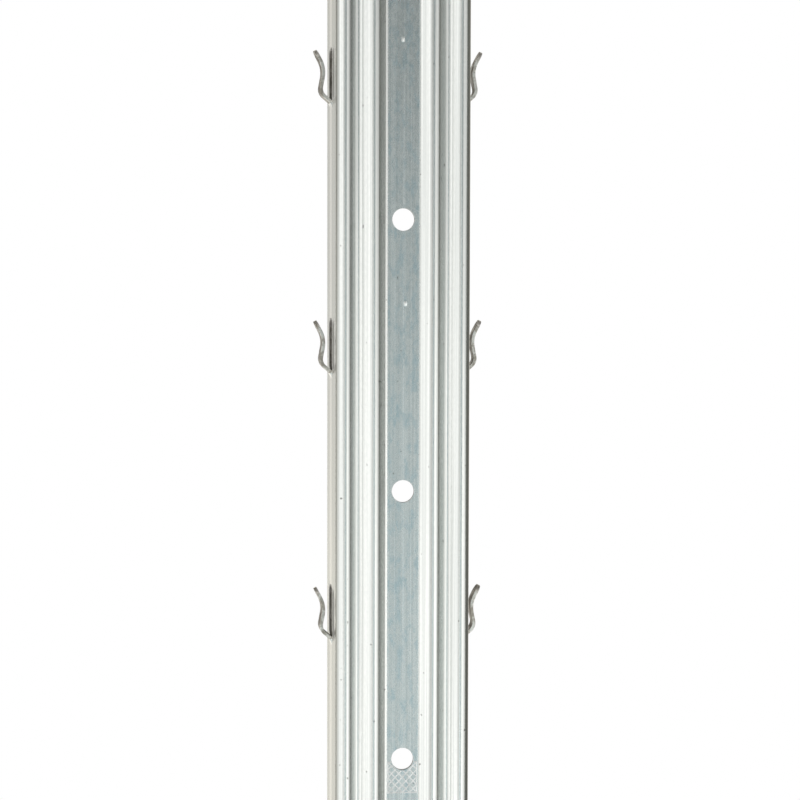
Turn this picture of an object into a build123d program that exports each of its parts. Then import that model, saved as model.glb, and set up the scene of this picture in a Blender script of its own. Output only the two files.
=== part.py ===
from build123d import *
from math import atan2, cos, degrees, radians, sin, tan
import os

os.makedirs("parts", exist_ok=True)

# Vineyard post: one strip of galvanised sheet, roll formed into an open ribbed channel.
# +Z runs up the post, -Y is the ribbed front and +Y the open back.
# The origin is the middle of the driven lower end.

# Post and sheet
post_length = 2200.0
post_depth = 35.0
sheet = 1.25
bend_inside = 2.1
bend_outside = bend_inside + sheet

# Ribbed front, measured from the middle of the post
web_flat_half = 5.7
ridge_offset = 11.0
valley_offset = 16.6
shoulder_offset = 21.5
slope_angle = 41.0

# Side walls and the lips along the open back
wall_splay = 0.6
lip_width = 9.0

# Round holes up the middle of the web, counted down from the top
hole_diameter = 8.2
hole_pitch = 100.0
hole_count = 14
top_hole_drop = 100.0

# Wire hooks, one in each wall above every hole
hook_width = 6.0
hook_foot = 2.5
hook_rise = 42.7
hook_behind_web = 16.5
hook_slit = 0.5
hook_stretch = 1.07
hook_root_inside = 3.6
hook_belly_inside = 3.1
hook_neck_inside = 8.9

# Corners of the hook seen from the front, out from the middle of the wall and up from its root
hook_belly_out = 4.9
hook_belly_height = 4.2
hook_neck_out = 3.25
hook_neck_height = 13.0
hook_tip_out = 6.75
hook_tip_height = 19.7

# What is left flat at the top of a rounded tip or window
tip_flat = 0.01


def slope_flat(offset_change):
    """Length of the straight flank between two bends that turn opposite ways."""
    bends_run = (bend_inside + bend_outside) * sin(radians(slope_angle))
    return (offset_change - bends_run) / cos(radians(slope_angle))


# Heights of the front's bends above the web's outer face
bends_rise = (bend_inside + bend_outside) * (1 - cos(radians(slope_angle)))
slope_sine = sin(radians(slope_angle))
ridge_height = bends_rise + slope_flat(ridge_offset - web_flat_half) * slope_sine
valley_height = ridge_height - bends_rise - slope_flat(valley_offset - ridge_offset) * slope_sine
shoulder_height = valley_height + bends_rise + slope_flat(shoulder_offset - valley_offset) * slope_sine

# The crowns of the two ridges touch the front of the post's box
front_y = -post_depth / 2
web_y = front_y + ridge_height
back_y = front_y + post_depth

# The wall's outer face, from the end of the shoulder bend to the start of the back bend
wall_turn = 90.0 - wall_splay
wall_front_y = web_y - shoulder_height + bend_outside * (1 - cos(radians(wall_turn)))
wall_front_x = shoulder_offset + bend_outside * sin(radians(wall_turn))
back_bend_depth = bend_outside * (1 + cos(radians(wall_turn)))
wall_length = (back_y - back_bend_depth - wall_front_y) / cos(radians(wall_splay))
lip_flat = lip_width - bend_outside

# Where the hooks stand
hook_y = web_y + hook_behind_web
hook_wall_x = wall_front_x + (hook_y - wall_front_y) * tan(radians(wall_splay))
hole_middle_z = post_length - top_hole_drop - (hole_count - 1) * hole_pitch / 2
hook_middle_z = hole_middle_z + hook_rise

# One hook, for the right wall: X points out of the wall and the origin is on its outer face.
# Its foot stays in the wall.
with BuildPart() as wire_hook:
    with BuildSketch(Plane.XZ) as hook_side:
        with BuildLine() as hook_line:
            FilletPolyline(
                (-sheet / 2, -hook_foot),
                (-sheet / 2, 0),
                (-sheet / 2 + hook_belly_out, hook_belly_height),
                (-sheet / 2 + hook_neck_out, hook_neck_height),
                (-sheet / 2 + hook_tip_out, hook_tip_height),
                radius=(
                    hook_root_inside + sheet / 2,
                    hook_belly_inside + sheet / 2,
                    hook_neck_inside + sheet / 2,
                ),
            )
        trace(hook_line.line, line_width=sheet)
    extrude(amount=hook_width / 2, both=True)
    with BuildSketch(Plane.YZ) as hook_blank:
        with Locations((0, -hook_foot)):
            Rectangle(hook_width, hook_foot + hook_tip_height, align=(Align.CENTER, Align.MIN))
        fillet(hook_blank.vertices().group_by(Axis.Y)[-1], hook_width / 2 - tip_flat)
    extrude(amount=hook_tip_out + sheet, both=True, mode=Mode.INTERSECT)

# The window is as tall as the hook was before bending drew it longer, and a slit wider all round
root_turn = degrees(atan2(hook_belly_out, hook_belly_height))
window_bottom = -(hook_root_inside + sheet / 2) * tan(radians(root_turn / 2))
window_top = (hook_line.wire().length - hook_foot) / hook_stretch + hook_slit
window_width = hook_width + 2 * hook_slit

with BuildPart() as post:
    # The section is drawn once along the outer face of the sheet's right half
    with BuildSketch(Plane.XY) as section:
        with BuildLine() as outer_face:
            web = Line((0, web_y), (web_flat_half, web_y))
            foot = JernArc(web @ 1, web % 1, bend_inside, -slope_angle)
            rise = PolarLine(foot @ 1, slope_flat(ridge_offset - web_flat_half), direction=foot % 1)
            ridge = JernArc(rise @ 1, rise % 1, bend_outside, 2 * slope_angle)
            fall = PolarLine(ridge @ 1, slope_flat(valley_offset - ridge_offset), direction=ridge % 1)
            valley = JernArc(fall @ 1, fall % 1, bend_inside, -2 * slope_angle)
            climb = PolarLine(valley @ 1, slope_flat(shoulder_offset - valley_offset), direction=valley % 1)
            shoulder = JernArc(climb @ 1, climb % 1, bend_outside, slope_angle + wall_turn)
            wall = PolarLine(shoulder @ 1, wall_length, direction=shoulder % 1)
            back_bend = JernArc(wall @ 1, wall % 1, bend_outside, 180.0 - wall_turn)
            lip = PolarLine(back_bend @ 1, lip_flat, direction=back_bend % 1)
            offset(amount=sheet, side=Side.LEFT)
        make_face()
        mirror(about=Plane.YZ)
    extrude(amount=post_length)

    # Round holes through the web
    with Locations(Plane((0, web_y, hole_middle_z), x_dir=(1, 0, 0), z_dir=(0, -1, 0))):
        with GridLocations(1, hole_pitch, 1, hole_count):
            Hole(hole_diameter / 2, depth=2 * sheet)

    # Windows left in both walls where the hooks were cut free
    with BuildSketch(Plane.YZ) as windows:
        with Locations((hook_y, hook_middle_z + (window_top + window_bottom) / 2)):
            with GridLocations(1, hole_pitch, 1, hole_count):
                Rectangle(window_width, window_top - window_bottom)
        corner_rows = [window.vertices().group_by(Axis.Y) for window in windows.faces()]
        fillet([corner for rows in corner_rows for corner in rows[-1]], window_width / 2 - tip_flat)
    extrude(amount=post_depth, both=True, mode=Mode.SUBTRACT)

    # Hooks bent out of the windows of the right wall, then the left
    for outward in (1, -1):
        wall_face = Plane(
            (outward * hook_wall_x, hook_y, hook_middle_z),
            x_dir=(outward * cos(radians(wall_splay)), -sin(radians(wall_splay)), 0),
            z_dir=(0, 0, 1),
        )
        heights = [(number - (hole_count - 1) / 2) * hole_pitch for number in range(hole_count)]
        with Locations(*[wall_face.offset(height).location for height in heights]):
            add(wire_hook.part)

post.part.label = "post"
export_step(post.part, "parts/post.step")
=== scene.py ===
from math import atan2, cos, pi, radians, sin, tan

import bmesh
import bpy
from mathutils import Matrix, Vector


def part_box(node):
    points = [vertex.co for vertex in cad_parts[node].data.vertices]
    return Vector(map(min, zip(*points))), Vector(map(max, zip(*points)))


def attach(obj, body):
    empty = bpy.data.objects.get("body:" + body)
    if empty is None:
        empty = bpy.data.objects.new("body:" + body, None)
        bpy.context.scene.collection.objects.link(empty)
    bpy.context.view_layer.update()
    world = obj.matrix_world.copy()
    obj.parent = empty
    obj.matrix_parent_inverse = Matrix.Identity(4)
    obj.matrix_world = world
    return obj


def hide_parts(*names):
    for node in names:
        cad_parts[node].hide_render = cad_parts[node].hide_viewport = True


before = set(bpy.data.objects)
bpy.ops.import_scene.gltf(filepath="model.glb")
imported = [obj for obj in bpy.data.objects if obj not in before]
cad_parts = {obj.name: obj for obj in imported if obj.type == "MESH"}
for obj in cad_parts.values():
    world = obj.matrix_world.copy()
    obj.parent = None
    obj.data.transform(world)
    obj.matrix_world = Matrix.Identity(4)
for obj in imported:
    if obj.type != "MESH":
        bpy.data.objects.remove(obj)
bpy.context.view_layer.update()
postLow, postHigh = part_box("post")
print("stage: frame loaded,", len(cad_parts), "node in it")

metre = 0.001  # the mesh code below works in millimetres and is scaled once at its end
upward = Vector((0.0, 0.0, 1.0))

# One strip of galvanised sheet, roll formed. Runs and bends follow its outer face.
postSizes = {
    "length": 2200.0,
    "sheet": 1.25,
    "bendInside": 2.1,
    "webFlatHalf": 5.7,
    "ridgeOffset": 11.0,
    "valleyOffset": 16.6,
    "shoulderOffset": 21.5,
    "slopeAngle": radians(41.0),
    "wallSplay": radians(0.6),
    "lipWidth": 9.0,
    "flatBorder": 0.35,   # narrow strip that keeps a flat's shading out of its bends
    "bendStep": radians(6.0),
    "edgeRound": 0.12,
    "edgeSteps": 2,
    "sharpAngle": radians(22.0),
    "joinReach": 0.002,   # points closer than this are one
}

holeSizes = {
    "diameter": 8.2,
    "pitch": 100.0,
    "count": 14,
    "topDrop": 100.0,
    "segments": 48,
}

# Corners are seen from the front, out from the middle of the wall and up from the hook's root
hookSizes = {
    "width": 6.0,
    "rise": 42.7,
    "behindWeb": 16.5,
    "slit": 0.2,
    "stretch": 1.07,   # how much longer the strip got as it was bent
    "rootInside": 3.6,
    "bellyInside": 3.1,
    "neckInside": 8.9,
    "belly": Vector((4.9, 4.2)),
    "neck": Vector((3.25, 13.0)),
    "tip": Vector((6.75, 19.7)),
    "bendStep": radians(6.0),
    "tipFlat": 0.04,   # what is left straight at the end of the rounded tip
    "tipSteps": 8,
    "windowSteps": 14,
}

# A module is one pitch of the post, and starts this far below its hole
moduleBelowHole = 30.0


def slopeRun(offsetChange):
    sizes = postSizes
    bendsRun = (2 * sizes["bendInside"] + sizes["sheet"]) * sin(sizes["slopeAngle"])
    return (offsetChange - bendsRun) / cos(sizes["slopeAngle"])


def headingVector(heading):
    return Vector((cos(heading), sin(heading), 0.0))


# Where the section's parts lie, in millimetres in the post's own frame
slope = postSizes["slopeAngle"]
wallTurn = radians(90.0) - postSizes["wallSplay"]
bendOutside = postSizes["bendInside"] + postSizes["sheet"]
bendsRise = (postSizes["bendInside"] + bendOutside) * (1 - cos(slope))
ridgeRun = slopeRun(postSizes["ridgeOffset"] - postSizes["webFlatHalf"])
valleyRun = slopeRun(postSizes["valleyOffset"] - postSizes["ridgeOffset"])
shoulderRun = slopeRun(postSizes["shoulderOffset"] - postSizes["valleyOffset"])
ridgeHeight = bendsRise + ridgeRun * sin(slope)
shoulderHeight = ridgeHeight - valleyRun * sin(slope) + shoulderRun * sin(slope)
webY = postLow.y / metre + ridgeHeight
wallFront = Vector((
    postSizes["shoulderOffset"] + bendOutside * sin(wallTurn),
    webY - shoulderHeight + bendOutside * (1 - cos(wallTurn)),
    0.0,
))
backBendDepth = bendOutside * (1 + cos(wallTurn))
wallReach = wallFront.x + (postHigh.y / metre - wallFront.y) * tan(postSizes["wallSplay"])
wallLength = (postHigh.y / metre - backBendDepth - wallFront.y) / cos(postSizes["wallSplay"])
wallAlong = headingVector(wallTurn)
wallOut = Vector((sin(wallTurn), -cos(wallTurn), 0.0))
hookY = webY + hookSizes["behindWeb"]
hookAlong = (hookY - wallFront.y) / cos(postSizes["wallSplay"])
holeZs = [
    postSizes["length"] - holeSizes["topDrop"] - number * holeSizes["pitch"]
    for number in range(holeSizes["count"])
]
lowestRoot = holeZs[-1] + hookSizes["rise"]

# The hook's strip: its straight legs, how far each leans out, the bends between them and their
# radii along the middle of the sheet, and what each bend takes off the legs that it joins
corners = [Vector((0.0, 0.0)), hookSizes["belly"], hookSizes["neck"], hookSizes["tip"]]
legs = [far - near for near, far in zip(corners, corners[1:])]
leans = [0.0] + [atan2(leg.x, leg.y) for leg in legs]
turns = [after - before for before, after in zip(leans, leans[1:])]
insides = [hookSizes[key] for key in ("rootInside", "bellyInside", "neckInside")]
radii = [inside + postSizes["sheet"] / 2 for inside in insides]
tangents = [radius * tan(abs(turn) / 2) for radius, turn in zip(radii, turns)] + [0.0]
stripLength = sum(leg.length for leg in legs) - 2 * sum(tangents)
stripLength += sum(radius * abs(turn) for radius, turn in zip(radii, turns))
windowHeight = stripLength / hookSizes["stretch"] + hookSizes["slit"]   # above the root

border = postSizes["flatBorder"]
frontSteps = [
    ("run", border),
    ("bend", -slope),
    ("run", ridgeRun),
    ("bend", 2 * slope),
    ("run", valleyRun),
    ("bend", -2 * slope),
    ("run", shoulderRun),
    ("bend", slope + wallTurn),
    ("run", border),
]
backSteps = [
    ("run", border),
    ("bend", pi - wallTurn),
    ("run", postSizes["lipWidth"] - bendOutside),
]


def vertsOf(geom):
    return [item for item in geom if isinstance(item, bmesh.types.BMVert)]


def edgesOf(geom):
    return [item for item in geom if isinstance(item, bmesh.types.BMEdge)]


def everythingIn(bm):
    return list(bm.verts) + list(bm.edges) + list(bm.faces)


def addRun(bm, tip, heading, length):
    grown = bmesh.ops.extrude_vert_indiv(bm, verts=[tip])["verts"][0]
    grown.co += headingVector(heading) * length
    return grown


def addBend(bm, tip, heading, angle):
    # the outer face is on the outside of a left turn and on the inside of a right turn
    radius = bendOutside if angle > 0 else postSizes["bendInside"]
    side = 1.0 if angle > 0 else -1.0
    centre = tip.co + Vector((-sin(heading), cos(heading), 0.0)) * radius * side
    steps = max(2, round(abs(angle) / postSizes["bendStep"]))
    turned = bmesh.ops.spin(
        bm, geom=[tip], cent=centre, axis=(0, 0, 1), dvec=(0, 0, 0), angle=angle, steps=steps
    )
    return vertsOf(turned["geom_last"])[0]


def followSteps(bm, tip, heading, steps):
    for kind, amount in steps:
        if kind == "run":
            tip = addRun(bm, tip, heading, amount)
        else:
            tip = addBend(bm, tip, heading, amount)
            heading += amount
    return tip


def fillFlat(bm, outline, facing):
    # a flat face with any openings that the outline holds
    bmesh.ops.triangle_fill(bm, edges=outline, use_beauty=True, use_dissolve=False, normal=facing)


def uprightAt(corner):
    # the edge that runs up from a corner of the section
    for edge in corner.link_edges:
        if abs(edge.other_vert(corner).co.z - corner.co.z) > postSizes["joinReach"]:
            return edge


def raiseSteps(bm, steps, start, heading, height):
    known = set(bm.edges)
    foot = bmesh.ops.create_vert(bm, co=start)["vert"][0]
    end = followSteps(bm, foot, heading, steps)
    chain = [edge for edge in bm.edges if edge not in known]
    raised = bmesh.ops.extrude_edge_only(bm, edges=chain)["geom"]
    bmesh.ops.translate(bm, verts=vertsOf(raised), vec=(0, 0, height))
    return uprightAt(foot), uprightAt(end)


def crossEdges(bm, leftUpright, rightUpright):
    # joins two uprights at their feet and at their heads
    sides = [sorted(edge.verts, key=lambda vert: vert.co.z) for edge in (leftUpright, rightUpright)]
    return [bm.edges.new((left, right)) for left, right in zip(*sides)]


def addHook(bm, base):
    # bends the strip that stands on base out of the wall, from its root to its tip
    edge = base
    for i, leg in enumerate(legs):
        middle = (edge.verts[0].co + edge.verts[1].co) / 2
        # the outer face lies half a sheet out from the strip's middle line
        outward = wallOut * cos(leans[i]) - upward * sin(leans[i])
        side = 1.0 if turns[i] > 0 else -1.0
        radius = radii[i] - side * postSizes["sheet"] / 2
        steps = max(3, round(abs(turns[i]) / hookSizes["bendStep"]))
        turned = bmesh.ops.spin(
            bm, geom=[edge], cent=middle + outward * radius * side, axis=wallAlong, dvec=(0, 0, 0),
            angle=turns[i], steps=steps,
        )
        grown = bmesh.ops.extrude_edge_only(bm, edges=edgesOf(turned["geom_last"])[:1])["geom"]
        edge = edgesOf(grown)[0]
        along = wallOut * sin(leans[i + 1]) + upward * cos(leans[i + 1])
        length = leg.length - tangents[i] - tangents[i + 1]
        bmesh.ops.translate(bm, verts=vertsOf(grown), vec=along * length)
    bmesh.ops.bevel(
        bm, geom=list(edge.verts), offset=(hookSizes["width"] - hookSizes["tipFlat"]) / 2,
        offset_type="OFFSET", segments=hookSizes["tipSteps"], profile=0.5, affect="VERTICES", material=-1,
    )


def addWindow(bm, rootZ):
    # the outline of the window, with the hook standing on the middle of its lower edge
    inner = hookSizes["width"] / 2
    half = inner + hookSizes["slit"]
    bottom = rootZ - tangents[0]
    roundingZ = rootZ + windowHeight - half   # where the round head starts

    def wallPoint(along, z):
        point = wallFront + wallAlong * (hookAlong + along)
        return Vector((point.x, point.y, z))

    lower = [
        bmesh.ops.create_vert(bm, co=wallPoint(along, bottom))["vert"][0]
        for along in (-half, -inner, inner, half)
    ]
    base = [bm.edges.new(pair) for pair in zip(lower, lower[1:])]
    side = bmesh.ops.create_vert(bm, co=wallPoint(half, roundingZ))["vert"][0]
    outline = base + [bm.edges.new((lower[-1], side))]
    known = set(bm.edges)
    turned = bmesh.ops.spin(
        bm, geom=[side], cent=wallPoint(0.0, roundingZ), axis=wallOut, dvec=(0, 0, 0),
        angle=radians(180.0), steps=hookSizes["windowSteps"],
    )
    otherSide = vertsOf(turned["geom_last"])[0]
    outline += [edge for edge in bm.edges if edge not in known]
    outline.append(bm.edges.new((otherSide, lower[0])))
    return outline, base[1]


def buildStretch(bm, foot, height, holeZ=None):
    # a length of the post, with a hole and two hooks where holeZ says
    webCorner = Vector((postSizes["webFlatHalf"] - border, webY, foot))
    webUpright, frontUpright = raiseSteps(bm, frontSteps, webCorner, 0.0, height)
    backStart = wallFront + wallAlong * (wallLength - border)
    backStart.z = foot
    backUpright = raiseSteps(bm, backSteps, backStart, wallTurn, height)[0]
    outline = [frontUpright, backUpright] + crossEdges(bm, frontUpright, backUpright)
    base = None
    if holeZ is not None:
        window, base = addWindow(bm, holeZ + hookSizes["rise"])
        outline += window
    fillFlat(bm, outline, wallOut)
    if base is not None:
        addHook(bm, base)
    bmesh.ops.mirror(bm, geom=everythingIn(bm), axis="X", merge_dist=-1.0)
    otherCorner = Vector((-webCorner.x, webY))
    otherUpright = [
        edge for edge in bm.edges
        if all((vert.co.xy - otherCorner).length < postSizes["joinReach"] for vert in edge.verts)
    ][0]
    webOutline = [webUpright, otherUpright] + crossEdges(bm, otherUpright, webUpright)
    if holeZ is not None:
        ring = bmesh.ops.create_circle(
            bm, cap_ends=False, segments=holeSizes["segments"], radius=holeSizes["diameter"] / 2,
            matrix=facingFront(holeZ),
        )["verts"]
        webOutline += list({edge for vert in ring for edge in vert.link_edges})
    fillFlat(bm, webOutline, (0, -1, 0))


def facingFront(height):
    # turns what lies flat to face out of the web, at that height
    return Matrix.Translation((0, webY, height)) @ Matrix.Rotation(radians(90.0), 4, "X")


def joinInto(target, source):
    mesh = bpy.data.meshes.new("stretch")
    source.to_mesh(mesh)
    source.free()
    target.from_mesh(mesh)
    bpy.data.meshes.remove(mesh)


def stackStretches(post):
    # the rows of holes and hooks, and the plain stretches below and above them
    module = bmesh.new()
    lowest = holeZs[-1] - moduleBelowHole
    buildStretch(module, lowest, holeSizes["pitch"], holeZs[-1])
    joinInto(post, module)
    first = everythingIn(post)
    for number in range(1, holeSizes["count"]):
        copied = bmesh.ops.duplicate(post, geom=first)["geom"]
        bmesh.ops.translate(post, verts=vertsOf(copied), vec=(0, 0, number * holeSizes["pitch"]))
    highest = lowest + holeSizes["count"] * holeSizes["pitch"]
    for foot, head in ((0.0, lowest), (highest, postSizes["length"])):
        plain = bmesh.new()
        buildStretch(plain, foot, head - foot)
        joinInto(post, plain)
    bmesh.ops.remove_doubles(post, verts=list(post.verts), dist=postSizes["joinReach"])


# The post's material slots
finishes = {"zinc": 0, "cutEdge": 1, "hookOutside": 2, "hookInside": 3, "shadedCutEdge": 4}

# Places that tell the post's faces apart, in millimetres
faceLimits = {
    "wallInner": postSizes["shoulderOffset"] + 1.0,   # rims further out than this are in the walls
    "wallOuter": wallReach + 0.05,
    "hook": wallReach + 0.5,         # what stands further out is a hook
    "windowFoot": 0.5,               # above the hook's root
    "windowHead": windowHeight + 1.0,
    "end": 1.0,                      # rims this near to an end are its cut
}


def finishOf(face, isRim):
    centre = face.calc_center_median()
    out = abs(centre.x)
    inWall = faceLimits["wallInner"] < out < faceLimits["wallOuter"]
    if isRim:
        aboveRoot = (centre.z - lowestRoot) % holeSizes["pitch"]
        inWindow = inWall and faceLimits["windowFoot"] < aboveRoot < faceLimits["windowHead"]
        offEnds = faceLimits["end"] < centre.z < postSizes["length"] - faceLimits["end"]
        # window and hole rims take a darker copy of the cut edge: painted shade
        if inWindow or (out < holeSizes["diameter"] and offEnds):
            return "shadedCutEdge"
        return "zinc" if inWall else "cutEdge"
    if out > faceLimits["hook"]:
        # faces toward the wall take hookInside, which carries the stronger painted shade at the root
        return "hookOutside" if face.normal.x * centre.x > 0 else "hookInside"
    return "zinc"


def buildPost():
    post = bmesh.new()
    stackStretches(post)
    bmesh.ops.recalc_face_normals(post, faces=list(post.faces))
    webFace = min(post.faces, key=lambda face: abs(face.calc_center_median().x))
    if webFace.normal.y > 0:
        bmesh.ops.reverse_faces(post, faces=list(post.faces))
    outer = set(post.verts)
    bmesh.ops.solidify(post, geom=list(post.faces), thickness=postSizes["sheet"])
    # a rim joins the two sides of the sheet
    rimFaces = {face for face in post.faces if len({vert in outer for vert in face.verts}) == 2}
    for face in post.faces:
        face.material_index = finishes[finishOf(face, face in rimFaces)]
    rims = [edge for edge in post.edges if len({face in rimFaces for face in edge.link_faces}) == 2]
    bmesh.ops.bevel(
        post, geom=rims, offset=postSizes["edgeRound"], offset_type="OFFSET",
        segments=postSizes["edgeSteps"], profile=0.5, affect="EDGES", material=-1, clamp_overlap=True,
    )
    bmesh.ops.scale(post, vec=(metre, metre, metre), verts=list(post.verts))
    return post


def meshObject(name, bm):
    mesh = bpy.data.meshes.new(name)
    bm.to_mesh(mesh)
    bm.free()
    item = bpy.data.objects.new(name, mesh)
    bpy.context.scene.collection.objects.link(item)
    return item


def makePiece(name, bm, materials):
    piece = meshObject(name, bm)
    for material in materials:
        piece.data.materials.append(material)
    piece.data.shade_smooth()
    piece.data.set_sharp_from_angle(angle=postSizes["sharpAngle"])
    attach(piece, "root")
    return piece


class NodeBench:
    # shorthand for the nodes of a finish or of the room

    def __init__(self, tree):
        self.nodes = tree.nodes
        self.links = tree.links
        self.nodes.clear()

    def feed(self, socket, source):
        if hasattr(source, "is_linked"):
            self.links.new(source, socket)
        else:
            socket.default_value = source

    def math(self, operation, first, second=0.0):
        node = self.nodes.new("ShaderNodeMath")
        node.operation = operation
        self.feed(node.inputs[0], first)
        self.feed(node.inputs[1], second)
        return node.outputs["Value"]

    def ramp(self, value, fromMin, fromMax, toMin=0.0, toMax=1.0):
        node = self.nodes.new("ShaderNodeMapRange")
        node.interpolation_type = "SMOOTHSTEP"
        limits = {"From Min": fromMin, "From Max": fromMax, "To Min": toMin, "To Max": toMax}
        for key, number in limits.items():
            node.inputs[key].default_value = number
        self.links.new(value, node.inputs["Value"])
        return node.outputs["Result"]

    def mix(self, factor, first, second):
        node = self.nodes.new("ShaderNodeMix")
        node.data_type = "RGBA"
        self.feed(node.inputs["Factor"], factor)
        self.feed(node.inputs[6], first)
        self.feed(node.inputs[7], second)
        return node.outputs[2]

    def blend(self, factor, first, second, surface):
        node = self.nodes.new("ShaderNodeMixShader")
        self.links.new(factor, node.inputs["Fac"])
        self.links.new(first, node.inputs[1])
        self.links.new(second, node.inputs[2])
        self.links.new(node.outputs["Shader"], surface)


class FinishNodes(NodeBench):
    # one finish, with its shader and the place of each point on the piece

    def __init__(self, name):
        self.material = bpy.data.materials.new(name)
        self.material.use_nodes = True
        super().__init__(self.material.node_tree)
        self.surface = self.nodes.new("ShaderNodeOutputMaterial").inputs["Surface"]
        self.shader = self.nodes.new("ShaderNodeBsdfPrincipled")
        self.links.new(self.shader.outputs["BSDF"], self.surface)
        self.place = self.nodes.new("ShaderNodeTexCoord").outputs["Object"]
        split = self.nodes.new("ShaderNodeSeparateXYZ")
        self.links.new(self.place, split.inputs["Vector"])
        self.x, self.y, self.z = (split.outputs[axis] for axis in "XYZ")

    def noise(self, stretch, detail=2.0, roughness=0.5):
        # stretch is how many grains there are to a metre along each axis
        mapping = self.nodes.new("ShaderNodeMapping")
        mapping.inputs["Scale"].default_value = stretch
        self.links.new(self.place, mapping.inputs["Vector"])
        noise = self.nodes.new("ShaderNodeTexNoise")
        noise.inputs["Scale"].default_value = 1.0
        noise.inputs["Detail"].default_value = detail
        noise.inputs["Roughness"].default_value = roughness
        self.links.new(mapping.outputs["Vector"], noise.inputs["Vector"])
        return noise.outputs["Fac"]

    def band(self, value, start, full, falling, end):
        # 1 between full and falling, 0 outside start and end
        rise = self.ramp(value, start, full)
        return self.math("MULTIPLY", rise, self.ramp(value, falling, end, 1.0, 0.0))

    def line(self, place, halfWidth, core=0.4):
        # 1 along the core of a line that runs up the post at x = place, 0 beside it
        offset = self.math("ABSOLUTE", self.math("SUBTRACT", self.x, place))
        return self.ramp(offset, core * halfWidth, halfWidth, 1.0, 0.0)

    def aboveRoot(self):
        # how far a point is above the root of the hook below it, in metres
        aboveLowest = self.math("SUBTRACT", self.z, lowestRoot * metre)
        return self.math("MODULO", aboveLowest, holeSizes["pitch"] * metre)

    def spot(self, centre, reach):
        # 1 in the middle of an oval spot, 0 at its rim
        mapping = self.nodes.new("ShaderNodeMapping")
        mapping.vector_type = "TEXTURE"
        mapping.inputs["Location"].default_value = centre
        mapping.inputs["Scale"].default_value = reach
        self.links.new(self.place, mapping.inputs["Vector"])
        return self.ramp(self.length(mapping.outputs["Vector"]), 0.0, 1.0, 1.0, 0.0)

    def length(self, vector):
        node = self.nodes.new("ShaderNodeVectorMath")
        node.operation = "LENGTH"
        self.links.new(vector, node.inputs[0])
        return node.outputs["Value"]

    def bump(self, height, distance, strength, below=None):
        node = self.nodes.new("ShaderNodeBump")
        node.inputs["Distance"].default_value = distance
        node.inputs["Strength"].default_value = strength
        self.links.new(height, node.inputs["Height"])
        if below is not None:
            self.links.new(below, node.inputs["Normal"])
        return node.outputs["Normal"]


# The coated sheet. Sizes are in metres, and a noise is given in grains to a metre.
zincFinish = {
    "colour": (0.758, 0.77, 0.747, 1.0),
    "roughness": 0.27,
    "specular": 0.5,
    "mottle": (900.0, 900.0, 500.0),
    "mottleRange": (0.36, 0.64),
    "mottleColour": (0.705, 0.72, 0.70, 1.0),
    "mottleWeight": 0.6,
    "streak": (1500.0, 1500.0, 9.0),
    "broadStreak": (420.0, 420.0, 2.6),
    "broadWeight": 0.7,
    "streakRange": (0.68, 1.02),
    "streakColour": (0.612, 0.63, 0.612, 1.0),
    "streakWeight": 0.8,
    "streakRelief": (0.00001, 0.5),   # how high, and how strongly it shows
    "sway": (22.0, 22.0, 11.0),
    "swayRelief": (0.0006, 0.6),
    "speck": (700.0, 700.0, 700.0),
    "speckRange": (0.845, 0.865),
    "speckColour": (0.16, 0.16, 0.15, 1.0),
    "speckWeight": 0.8,
}

# Lines that the rolls left up the post, and one dark line of painted shade: where each one is, half its
# width, and how strong
rollMarks = {
    "brightLines": ((0.0001, 0.00022, 0.6), (-0.0031, 0.0002, 0.45), (0.0029, 0.0002, 0.4)),
    # worn roll lines, and the painted highlight on the web's dents
    "wornAndHighlightColour": (0.93, 0.94, 0.93, 1.0),
    "wear": (60.0, 60.0, 25.0),
    "wearRange": (0.38, 0.62, 0.15, 1.0),
    # the first dull line, along the left flank, is painted shade; the other two are roll marks
    "dullAndShadeLines": ((-0.0195, 0.0011, 0.6), (0.0101, 0.0009, 0.42), (-0.0095, 0.0009, 0.36)),
    "dullAndShadeColour": (0.35, 0.36, 0.35, 1.0),
}

# The flat web, where the coating still shows its patches and grain, and its dents, painted brighter as a
# highlight
webMarks = {
    "edge": ((postSizes["webFlatHalf"] - 0.2) * metre, (postSizes["webFlatHalf"] + 0.3) * metre),
    "grainRange": (0.3, 0.7, -0.018, 0.018),   # how far the roughness sways
    "patch": (330.0, 330.0, 130.0),
    "patchRange": (0.46, 0.66),
    "patchColour": (0.51, 0.60, 0.62, 1.0),
    "patchWeight": 0.8,
    "dents": ((-0.0003, 1.4656), (0.0008, 1.3693)),
    "dentReach": (0.0007, 0.004, 0.0013),
    "dentHighlightWeight": 0.5,
    "dentRelief": (0.00012, 1.0),
}

# The outside of the walls. A band gives where it starts, is full, and starts and ends its fall,
# in metres behind the hook's middle.
wallMarks = {
    "outside": ((wallFront.x - 0.4) * metre, (wallFront.x - 0.2) * metre),
    "weight": 0.95,
    # painted highlight: a light band along the wall at the windows' depth, brightening each window's near
    # rim
    "highlightBand": (-0.0040, -0.0020, 0.0035, 0.0055),
    "highlightColour": (0.985, 0.985, 0.96, 1.0),
    # painted shade beside each window: one band in front of it and one behind it, as far up as the window
    "windowShadeBands": ((-0.0130, -0.0070, -0.0056, -0.0042), (0.0028, 0.0033, 0.0048, 0.0075)),
    "windowShadeFoot": (0.0005, 0.003),   # above the hook's root
    "windowShadeHead": (windowHeight * metre - 0.003, windowHeight * metre + 0.001),
    "windowShadeColour": (0.24, 0.235, 0.215, 1.0),
    "windowShadeRoughness": 0.8,
    "windowShadeMatt": 0.4,   # what it takes off the gloss
}


def paintWindowShade(finish, onWall, fromHook):
    # painted shade: the wall is darkened along both sides of each window, up the window's height
    front, back = (finish.band(fromHook, *band) for band in wallMarks["windowShadeBands"])
    wide = finish.math("ADD", front, back)
    height = finish.aboveRoot()
    tall = finish.band(height, *wallMarks["windowShadeFoot"], *wallMarks["windowShadeHead"])
    return finish.math("MULTIPLY", finish.math("MULTIPLY", wide, tall), onWall)


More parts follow.
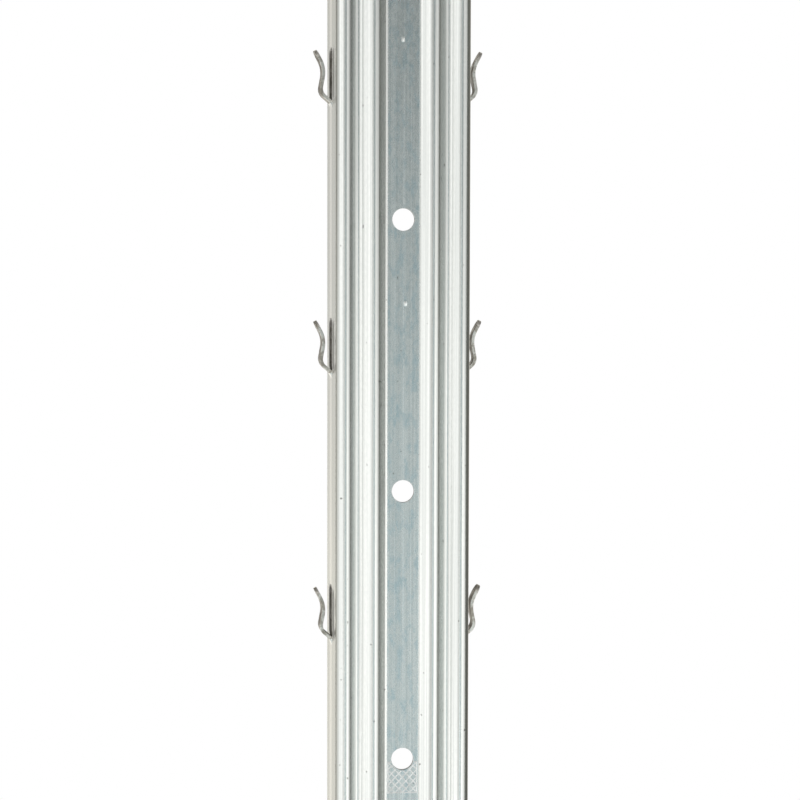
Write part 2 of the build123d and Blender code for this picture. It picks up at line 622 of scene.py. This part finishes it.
def makeZinc():
    zinc = zincFinish
    finish = FinishNodes("galvanisedSheet")
    offMiddle = finish.math("ABSOLUTE", finish.x)
    onWeb = finish.ramp(offMiddle, *webMarks["edge"], 1.0, 0.0)
    onWall = finish.ramp(offMiddle, *wallMarks["outside"], 0.0, wallMarks["weight"])
    fromHook = finish.math("SUBTRACT", finish.y, hookY * metre)

    mottle = finish.noise(zinc["mottle"], detail=3.0, roughness=0.6)
    streak = finish.noise(zinc["streak"])
    broadStreak = finish.noise(zinc["broadStreak"])
    sway = finish.noise(zinc["sway"], detail=1.0)
    specks = finish.noise(zinc["speck"], detail=0.0)
    specks = finish.ramp(specks, *zinc["speckRange"], 0.0, zinc["speckWeight"])
    wear = finish.ramp(finish.noise(rollMarks["wear"], detail=3.0), *rollMarks["wearRange"])
    patches = finish.noise(webMarks["patch"], detail=5.0, roughness=0.7)
    patches = finish.ramp(patches, *webMarks["patchRange"], 0.0, webMarks["patchWeight"])

    mottling = finish.ramp(mottle, *zinc["mottleRange"], 0.0, zinc["mottleWeight"])
    colour = finish.mix(mottling, zinc["colour"], zinc["mottleColour"])
    streaks = finish.math("ADD", streak, finish.math("MULTIPLY", broadStreak, zinc["broadWeight"]))
    streaks = finish.ramp(streaks, *zinc["streakRange"], 0.0, zinc["streakWeight"])
    colour = finish.mix(streaks, colour, zinc["streakColour"])
    for place, halfWidth, weight in rollMarks["brightLines"]:
        worn = finish.math("MULTIPLY", wear, weight)
        shine = finish.math("MULTIPLY", finish.line(place, halfWidth), worn)
        colour = finish.mix(shine, colour, rollMarks["wornAndHighlightColour"])
    # dull roll marks, and painted shade along the left flank
    for place, halfWidth, weight in rollMarks["dullAndShadeLines"]:
        dullnessAndShade = finish.math("MULTIPLY", finish.line(place, halfWidth), weight)
        colour = finish.mix(dullnessAndShade, colour, rollMarks["dullAndShadeColour"])
    # painted highlight along the wall where the windows are
    wallHighlight = finish.math("MULTIPLY", finish.band(fromHook, *wallMarks["highlightBand"]), onWall)
    colour = finish.mix(wallHighlight, colour, wallMarks["highlightColour"])
    colour = finish.mix(finish.math("MULTIPLY", patches, onWeb), colour, webMarks["patchColour"])
    dents = 0.0
    for x, height in webMarks["dents"]:
        dents = finish.math("ADD", dents, finish.spot((x, webY * metre, height), webMarks["dentReach"]))
    # painted highlight on each dent
    dentHighlight = finish.math("MULTIPLY", dents, webMarks["dentHighlightWeight"])
    colour = finish.mix(dentHighlight, colour, rollMarks["wornAndHighlightColour"])
    windowShade = paintWindowShade(finish, onWall, fromHook)
    # painted shade beside the windows; metallic, gloss and roughness follow it so that it shows dark
    colour = finish.mix(windowShade, colour, wallMarks["windowShadeColour"])
    colour = finish.mix(specks, colour, zinc["speckColour"])

    grain = finish.math("MULTIPLY", finish.ramp(mottle, *webMarks["grainRange"]), onWeb)
    windowShadeRough = finish.math("MULTIPLY", windowShade, wallMarks["windowShadeRoughness"])
    roughness = finish.math("MAXIMUM", finish.math("ADD", grain, zinc["roughness"]), windowShadeRough)
    matt = finish.math("MULTIPLY", windowShade, wallMarks["windowShadeMatt"])
    relief = finish.bump(sway, *zinc["swayRelief"])
    relief = finish.bump(dents, *webMarks["dentRelief"], relief)
    relief = finish.bump(streak, *zinc["streakRelief"], relief)
    finish.feed(finish.shader.inputs["Base Color"], colour)
    finish.feed(finish.shader.inputs["Metallic"], finish.math("SUBTRACT", 1.0, windowShade))
    finish.feed(finish.shader.inputs["Specular IOR Level"], finish.math("SUBTRACT", zinc["specular"], matt))
    finish.feed(finish.shader.inputs["Roughness"], roughness)
    finish.feed(finish.shader.inputs["Normal"], relief)
    return finish.material


# light and dark are the clean and the stained sheet, and dark is also the colour of the painted shade;
# shade is how much painted shade a hook gets at its root
rawFinishes = {
    "hookOutside": {
        "light": (0.42, 0.40, 0.36, 1.0), "dark": (0.20, 0.175, 0.14, 1.0), "metallic": 0.95,
        "roughness": (0.30, 0.45), "shade": 0.3,
    },
    # the faces toward the wall: a strong painted shade at the root, and a darker dark for both stain and
    # painted shade
    "hookInside": {
        "light": (0.46, 0.43, 0.375, 1.0), "dark": (0.13, 0.105, 0.08, 1.0), "metallic": 0.9,
        "roughness": (0.34, 0.5), "shade": 0.95,
    },
    # the cut steel's own colour, made lighter as a painted highlight along the edges
    "cutEdge": {
        "light": (0.80, 0.77, 0.715, 1.0), "dark": (0.39, 0.36, 0.31, 1.0), "metallic": 0.95,
        "roughness": (0.30, 0.42), "shade": 0.0,
    },
    # a darker copy of cutEdge: painted shade in the rims of the windows and holes
    "shadedCutEdge": {
        "light": (0.40, 0.38, 0.35, 1.0), "dark": (0.18, 0.165, 0.15, 1.0), "metallic": 0.9,
        "roughness": (0.5, 0.6), "shade": 0.0,
    },
    # lighter than the sheet: a painted highlight on the hatch's raised ridges
    "raisedMark": {
        "light": (0.90, 0.92, 0.91, 1.0), "dark": (0.72, 0.74, 0.73, 1.0), "metallic": 0.35,
        "roughness": (0.35, 0.45), "shade": 0.0,
    },
}

# The pattern that these finishes share
rawPattern = {
    "grain": (1500.0, 1500.0, 1500.0),
    "grainWeight": 0.4,
    "grainRelief": (0.00005, 0.6),
    "patches": (420.0, 420.0, 300.0),
    "patchRange": (0.35, 0.65),
    "stainRange": (0.56, 0.86),
    "rootReach": (0.002, 0.016),   # where the shade starts and ends, in metres above the root
}


def makeRaw(name):
    # sheared, bent or rolled sheet, where the coating is thin and stained in patches
    raw = rawFinishes[name]
    pattern = rawPattern
    finish = FinishNodes(name)
    grain = finish.noise(pattern["grain"])
    patches = finish.noise(pattern["patches"], detail=3.0, roughness=0.6)
    stain = finish.math("ADD", finish.math("MULTIPLY", grain, pattern["grainWeight"]), patches)
    stain = finish.ramp(stain, *pattern["stainRange"])
    # painted shade: darker towards the hook's root, where the wall shades it
    paintedRootShade = finish.ramp(finish.aboveRoot(), *pattern["rootReach"], raw["shade"], 0.0)
    colour = finish.mix(finish.math("MAXIMUM", stain, paintedRootShade), raw["light"], raw["dark"])
    finish.feed(finish.shader.inputs["Base Color"], colour)
    finish.shader.inputs["Metallic"].default_value = raw["metallic"]
    roughness = finish.ramp(patches, *pattern["patchRange"], *raw["roughness"])
    finish.feed(finish.shader.inputs["Roughness"], roughness)
    finish.feed(finish.shader.inputs["Normal"], finish.bump(grain, *pattern["grainRelief"]))
    return finish.material


postMaterials = [makeZinc()] + [makeRaw(name) for name in finishes if name != "zinc"]
print("stage: finishes made")

postPiece = makePiece("ribbedPost", buildPost(), postMaterials)
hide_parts("post")
print("stage: post built,", len(postPiece.data.polygons), "faces")

# A plain crosshatch is rolled into the web just below one hole
hatchSizes = {
    "hole": 1200.0,     # how far up the post its hole is
    "halfWidth": 5.4,
    "top": -1.2,        # heights are from the middle of the hole
    "bottom": -12.7,
    "across": 4,        # diamonds in the width and in the height
    "ridge": 0.46,
    "raised": 0.12,
    "clearance": 0.3,   # kept from the hole's edge
    "cutDepth": 4.0,
}


def hatchCutter():
    # the round space that the hatch keeps clear of
    bm = bmesh.new()
    reach = holeSizes["diameter"] / 2 + hatchSizes["clearance"]
    bmesh.ops.create_cone(
        bm, cap_ends=True, segments=holeSizes["segments"], radius1=reach, radius2=reach,
        depth=hatchSizes["cutDepth"], matrix=facingFront(hatchSizes["hole"]),
    )
    return meshObject("hatchCutter", bm)


def hatchWhole():
    # a grid of diamonds, trimmed to its field and turned into raised ridges
    hatch = hatchSizes
    bm = bmesh.new()
    cells = 4 * hatch["across"]   # more than fill the field once the grid is turned
    width, height = 2 * hatch["halfWidth"], hatch["top"] - hatch["bottom"]
    diagonal = 2 ** 0.5
    bmesh.ops.create_grid(bm, x_segments=cells, y_segments=cells, size=cells / 2)
    bmesh.ops.rotate(bm, verts=bm.verts, matrix=Matrix.Rotation(radians(45.0), 3, "Z"))
    diamond = (width / hatch["across"] / diagonal, height / hatch["across"] / diagonal, 1.0)
    bmesh.ops.scale(bm, verts=bm.verts, vec=diamond)
    bmesh.ops.rotate(bm, verts=bm.verts, matrix=Matrix.Rotation(radians(90.0), 3, "X"))
    for x, z in ((1, 0), (-1, 0), (0, 1), (0, -1)):
        bmesh.ops.bisect_plane(
            bm, geom=everythingIn(bm), dist=0.001, plane_co=(x * width / 2, 0, z * height / 2),
            plane_no=(x, 0, z), clear_outer=True,
        )
    bmesh.ops.wireframe(
        bm, faces=list(bm.faces), thickness=hatch["ridge"], use_replace=True, use_boundary=True,
        use_even_offset=True,
    )
    deepest = max(vert.co.y for vert in bm.verts)
    bmesh.ops.scale(bm, verts=bm.verts, vec=(1.0, hatch["raised"] / deepest, 1.0))
    middle = hatch["hole"] + (hatch["top"] + hatch["bottom"]) / 2
    bmesh.ops.translate(bm, verts=bm.verts, vec=(0, webY, middle))
    bmesh.ops.recalc_face_normals(bm, faces=list(bm.faces))
    return meshObject("hatchWhole", bm)


def buildHatch():
    whole = hatchWhole()
    cutter = hatchCutter()
    cut = whole.modifiers.new("clearOfHole", "BOOLEAN")
    cut.operation = "DIFFERENCE"
    cut.solver = "EXACT"
    cut.object = cutter
    cleared = whole.evaluated_get(bpy.context.evaluated_depsgraph_get())
    bm = bmesh.new()
    bm.from_mesh(bpy.data.meshes.new_from_object(cleared))
    for item in (whole, cutter):
        bpy.data.objects.remove(item)
    bmesh.ops.scale(bm, vec=(metre, metre, metre), verts=list(bm.verts))
    return bm


hatchPiece = makePiece("crosshatchMark", buildHatch(), [makeRaw("raisedMark")])
print("stage: crosshatch built,", len(hatchPiece.data.polygons), "faces")

# A pale round floor that fades into the white background towards its rim
floorLook = {
    "radius": 1.9,
    "segments": 128,
    "colour": (0.86, 0.86, 0.86, 1.0),
    "roughness": 0.9,
    "fade": (0.4, 1.8),         # metres from the post
    "whitening": (0.55, 1.0),   # how white it is at the start and at the end of the fade
}


def makeFloorFinish():
    finish = FinishNodes("paleFloor")
    finish.feed(finish.shader.inputs["Base Color"], floorLook["colour"])
    finish.feed(finish.shader.inputs["Roughness"], floorLook["roughness"])
    white = finish.ramp(finish.length(finish.place), *floorLook["fade"], *floorLook["whitening"])
    rays = finish.nodes.new("ShaderNodeLightPath").outputs
    straight = finish.math("MAXIMUM", rays["Is Camera Ray"], rays["Is Transmission Ray"])
    seen = finish.math("MAXIMUM", straight, rays["Is Glossy Ray"])
    page = finish.nodes.new("ShaderNodeEmission").outputs["Emission"]
    finish.blend(finish.math("MULTIPLY", white, seen), finish.shader.outputs["BSDF"], page, finish.surface)
    return finish.material


floorMesh = bmesh.new()
bmesh.ops.create_circle(
    floorMesh, cap_ends=True, segments=floorLook["segments"], radius=floorLook["radius"]
)
floor = meshObject("floor", floorMesh)
floor.data.materials.append(makeFloorFinish())
print("stage: floor laid")

# The camera stands a little to the left of the front
cameraSetup = {
    "place": Vector((-0.1177, -0.90065, 1.39401)),
    "yaw": radians(7.494),
    "pitch": radians(3.856),
    "roll": radians(0.125),
    "lens": 109.47,
    "sensor": 36.0,
    "nearest": 0.01,
}
cameraData = bpy.data.cameras.new("camera")
cameraData.lens = cameraSetup["lens"]
cameraData.sensor_width = cameraSetup["sensor"]
cameraData.clip_start = cameraSetup["nearest"]
camera = bpy.data.objects.new("camera", cameraData)
camera.matrix_world = (
    Matrix.Translation(cameraSetup["place"])
    @ Matrix.Rotation(-cameraSetup["yaw"], 4, "Z")
    @ Matrix.Rotation(radians(90.0) - cameraSetup["pitch"], 4, "X")
    @ Matrix.Rotation(cameraSetup["roll"], 4, "Z")
)
bpy.context.scene.collection.objects.link(camera)
bpy.context.scene.camera = camera

# Softboxes stand round the post: bearing is in degrees from its front, positive to the right
lampSetup = {
    "leftSoftbox": {"bearing": -54.0, "distance": 2.0, "width": 2.3, "height": 3.6, "radiance": 1.02},
    "rightSoftbox": {"bearing": 40.5, "distance": 2.0, "width": 1.9, "height": 3.6, "radiance": 0.56},
}
lampAim = Vector((0.0, 0.0, 1.2))
for name, lamp in lampSetup.items():
    lampData = bpy.data.lights.new(name, "AREA")
    lampData.shape = "RECTANGLE"
    lampData.size = lamp["width"]
    lampData.size_y = lamp["height"]
    lampData.energy = lamp["radiance"] * pi * lamp["width"] * lamp["height"]
    bearing = radians(lamp["bearing"])
    place = lampAim + Vector((sin(bearing), -cos(bearing), 0.0)) * lamp["distance"]
    turned = (lampAim - place).to_track_quat("-Z", "Y").to_matrix().to_4x4()
    lampObject = bpy.data.objects.new(name, lampData)
    lampObject.matrix_world = Matrix.Translation(place) @ turned
    lampObject.visible_camera = False
    bpy.context.scene.collection.objects.link(lampObject)

# The room: bearing from the post's front in degrees, positive to the right, how light it is
# above and below eye level there, and its tint. The backdrop behind the post is white.
tints = {
    "blue": (0.755, 1.0, 1.07),
    "plain": (1.0, 1.0, 0.975),
    "olive": (0.96, 1.0, 0.88),
    "warm": (1.03, 1.0, 0.91),
}
roomBearings = (
    (-172.0, 1.00, 1.42, "warm"),
    (-165.0, 0.45, 0.34, "warm"),
    (-159.0, 0.10, 0.05, "warm"),
    (-141.0, 0.19, 0.31, "warm"),
    (-129.0, 0.50, 0.78, "warm"),
    (-111.0, 0.50, 0.68, "plain"),
    (-99.0, 0.71, 1.10, "plain"),
    (-88.0, 0.90, 1.28, "plain"),
    (-82.0, 0.14, 0.30, "plain"),
    (-74.0, 0.22, 0.44, "plain"),
    (-63.0, 0.30, 0.54, "plain"),
    (-45.0, 0.17, 0.38, "plain"),
    (-27.0, 0.24, 0.32, "plain"),
    (-21.0, 0.60, 0.84, "plain"),
    (-10.0, 0.56, 1.00, "plain"),
    (-4.0, 0.73, 1.50, "plain"),
    (1.0, 0.52, 1.10, "blue"),
    (5.0, 0.10, 0.42, "blue"),
    (11.0, 0.10, 0.42, "blue"),
    (15.0, 0.14, 0.78, "plain"),
    (20.0, 0.21, 1.28, "plain"),
    (33.0, 0.22, 1.28, "plain"),
    (45.0, 0.24, 0.88, "plain"),
    (63.0, 0.13, 0.42, "plain"),
    (70.0, 0.15, 0.25, "olive"),
    (84.0, 0.12, 0.14, "olive"),
    (92.0, 0.13, 0.12, "olive"),
    (120.0, 0.20, 0.14, "warm"),
    (135.0, 0.30, 0.30, "warm"),
    (146.0, 0.55, 0.55, "warm"),
    (178.0, 1.12, 1.68, "warm"),
)

# Rises are parts of a ray's length: where one light starts to give way to the next, and has done so
roomSetup = {
    "front": 0.25,   # what the gradient round the room reads in front of the post
    "eyeLevel": (-0.09, 0.05),
    "ceilingRise": (0.5, 0.85),
    "ceiling": (0.30, 0.30, 0.30, 1.0),
    "backdrop": (0.985, 0.997),   # how squarely a ray points at the backdrop to meet it
    "page": (1.0, 1.0, 1.0, 1.0),
}


def lightAround(bench, around, column):
    # the light at each bearing, above eye level (column 1) or below it (column 2)
    node = bench.nodes.new("ShaderNodeValToRGB")
    elements = node.color_ramp.elements
    stops = []
    for row in roomBearings:
        light = [row[column] * part for part in tints[row[3]]]
        stops.append(((row[0] / 360.0 + roomSetup["front"]) % 1.0, light))
    stops.sort()
    seam = [(low + high) / 2 for low, high in zip(stops[0][1], stops[-1][1])]
    stops = [(0.0, seam)] + stops
    while len(elements) < len(stops):
        elements.new(0.5)
    for element, (position, light) in zip(elements, stops):
        element.position = position
        element.color = (*light, 1.0)
    bench.links.new(around, node.inputs["Fac"])
    return node.outputs["Color"]


def makeRoom():
    world = bpy.data.worlds.new("room")
    world.use_nodes = True
    bpy.context.scene.world = world
    setup = roomSetup
    bench = NodeBench(world.node_tree)
    surface = bench.nodes.new("ShaderNodeOutputWorld").inputs["Surface"]
    direction = bench.nodes.new("ShaderNodeTexCoord").outputs["Generated"]
    gradient = bench.nodes.new("ShaderNodeTexGradient")
    gradient.gradient_type = "RADIAL"
    bench.links.new(direction, gradient.inputs["Vector"])
    parts = bench.nodes.new("ShaderNodeSeparateXYZ")
    bench.links.new(direction, parts.inputs["Vector"])
    rise = parts.outputs["Z"]
    above, below = (lightAround(bench, gradient.outputs["Fac"], column) for column in (1, 2))
    sides = bench.mix(bench.ramp(rise, *setup["eyeLevel"]), below, above)
    steep = bench.ramp(bench.math("ABSOLUTE", rise), *setup["ceilingRise"])
    room = bench.nodes.new("ShaderNodeBackground")
    bench.feed(room.inputs["Color"], bench.mix(steep, sides, setup["ceiling"]))
    page = bench.nodes.new("ShaderNodeBackground")
    bench.feed(page.inputs["Color"], setup["page"])
    rays = bench.nodes.new("ShaderNodeLightPath").outputs
    squarely = bench.ramp(parts.outputs["Y"], *setup["backdrop"])
    mirrored = bench.math("MULTIPLY", rays["Is Glossy Ray"], squarely)
    straight = bench.math("MAXIMUM", rays["Is Camera Ray"], rays["Is Transmission Ray"])
    seen = bench.math("MAXIMUM", straight, mirrored)
    bench.blend(seen, room.outputs["Background"], page.outputs["Background"], surface)


makeRoom()
bpy.context.scene.view_settings.view_transform = "Standard"
print("stage: camera and light set")
